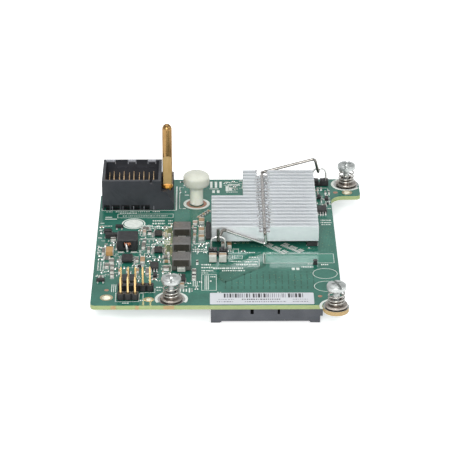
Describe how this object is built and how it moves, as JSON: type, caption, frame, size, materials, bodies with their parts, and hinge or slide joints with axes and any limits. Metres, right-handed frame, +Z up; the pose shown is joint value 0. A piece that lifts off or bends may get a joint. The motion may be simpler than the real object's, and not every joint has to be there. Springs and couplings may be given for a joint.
{
  "type": "mezzanine pass-through card",
  "caption": "Green plug-in circuit board with an underside board-to-board connector, blade header, guide pin, clipped heat sink and captive screws.",
  "frame": {"origin": "middle of the card's footprint, at the underside connector's feet, which is the part's lowest level", "axes": "+X right along the front edge, +Y from the front edge to the back, +Z up out of the board's component side"},
  "size_m": [0.0998, 0.1114, 0.0413],
  "materials": {
    "solder_mask": "green solder mask over glass-fibre laminate, satin",
    "chip_black": "moulded epoxy",
    "ferrite": "sintered ferrite, matt grey",
    "pin_header_plastic": "moulded, black",
    "tinned_copper": "tin plated",
    "capacitor_ceramic": "fired ceramic, tan",
    "nickel_steel": "nickel plated, bright",
    "spring_steel": "bright wire",
    "contact_gold": "gold flash over copper alloy",
    "guide_pin_gold": "gilt, turned",
    "header_plastic": "moulded, near black",
    "satin_aluminium": "satin, extruded",
    "connector_plastic": "moulded, dark grey",
    "enamelled_copper": "enamelled copper wire",
    "natural_nylon": "natural nylon, milky",
    "tantalum_tan": "moulded tan body"
  },
  "bodies": {
    "board": {"circuit_board": "solder_mask", "controller_chip": "chip_black", "driver_chip": "chip_black", "ferrite_core_1": "ferrite", "ferrite_core_2": "ferrite", "ferrite_core_3": "ferrite", "front_anchor_base": "pin_header_plastic", "front_anchor_loop": "tinned_copper", "front_left_capacitor": "capacitor_ceramic", "front_left_ferrule": "nickel_steel", "front_pin_1": "contact_gold", "front_pin_2": "contact_gold", "front_pin_3": "contact_gold", "front_pin_base": "pin_header_plastic", "front_right_capacitor": "capacitor_ceramic", "front_right_ferrule": "nickel_steel", "guide_pin": "guide_pin_gold", "header_blade_01": "contact_gold", "header_blade_02": "contact_gold", "header_blade_03": "contact_gold", "header_blade_04": "contact_gold", "header_blade_05": "contact_gold", "header_blade_06": "contact_gold", "header_blade_07": "contact_gold", "header_blade_08": "contact_gold", "header_blade_09": "contact_gold", "header_blade_10": "contact_gold", "header_shroud": "header_plastic", "header_side_chip": "chip_black", "heat_sink": "satin_aluminium", "heat_sink_clip": "spring_steel", "inductor_strap_1": "tinned_copper", "inductor_strap_2": "tinned_copper", "inductor_strap_3": "tinned_copper", "memory_chip": "chip_black", "mezzanine_connector": "connector_plastic", "mezzanine_contacts": "contact_gold", "power_inductor_core": "chip_black", "power_inductor_winding": "enamelled_copper", "power_switch_chip": "chip_black", "processor": "chip_black", "pull_knob": "natural_nylon", "rear_anchor_base": "pin_header_plastic", "rear_anchor_loop": "tinned_copper", "rear_pin_1": "contact_gold", "rear_pin_2": "contact_gold", "rear_pin_3": "contact_gold", "rear_pin_4": "contact_gold", "rear_pin_5": "contact_gold", "rear_pin_base": "pin_header_plastic", "rear_right_ferrule": "nickel_steel", "regulator_chip": "chip_black", "tantalum_capacitor": "tantalum_tan"},
    "front_left_follower": {"front_left_spring": "spring_steel"},
    "front_left_captive": {"front_left_screw": "nickel_steel"},
    "front_right_follower": {"front_right_spring": "spring_steel"},
    "front_right_captive": {"front_right_screw": "nickel_steel"},
    "rear_right_follower": {"rear_right_spring": "spring_steel"},
    "rear_right_captive": {"rear_right_screw": "nickel_steel"}
  },
  "joints": [
    {"name": "front_left_press", "type": "slide", "parent": "board", "child": "front_left_follower", "axis": [0, 0, -1], "range_m": [0, 0.002], "stiffness_N_per_m": 500, "springref_m": -0.0012, "deforming": ["front_left_spring"]},
    {"name": "front_left_turn", "type": "hinge", "parent": "front_left_follower", "child": "front_left_captive", "pos_m": [-0.0216, -0.04537, 0.0074], "axis": [0, 0, 1], "continuous": true},
    {"name": "front_right_press", "type": "slide", "parent": "board", "child": "front_right_follower", "axis": [0, 0, -1], "range_m": [0, 0.002], "stiffness_N_per_m": 500, "springref_m": -0.0012, "deforming": ["front_right_spring"]},
    {"name": "front_right_turn", "type": "hinge", "parent": "front_right_follower", "child": "front_right_captive", "pos_m": [0.03585, -0.05117, 0.0074], "axis": [0, 0, 1], "continuous": true},
    {"name": "rear_right_press", "type": "slide", "parent": "board", "child": "rear_right_follower", "axis": [0, 0, -1], "range_m": [0, 0.002], "stiffness_N_per_m": 500, "springref_m": -0.0012, "deforming": ["rear_right_spring"]},
    {"name": "rear_right_turn", "type": "hinge", "parent": "rear_right_follower", "child": "rear_right_captive", "pos_m": [0.0449, 0.05072, 0.0074], "axis": [0, 0, 1], "continuous": true}
  ]
}
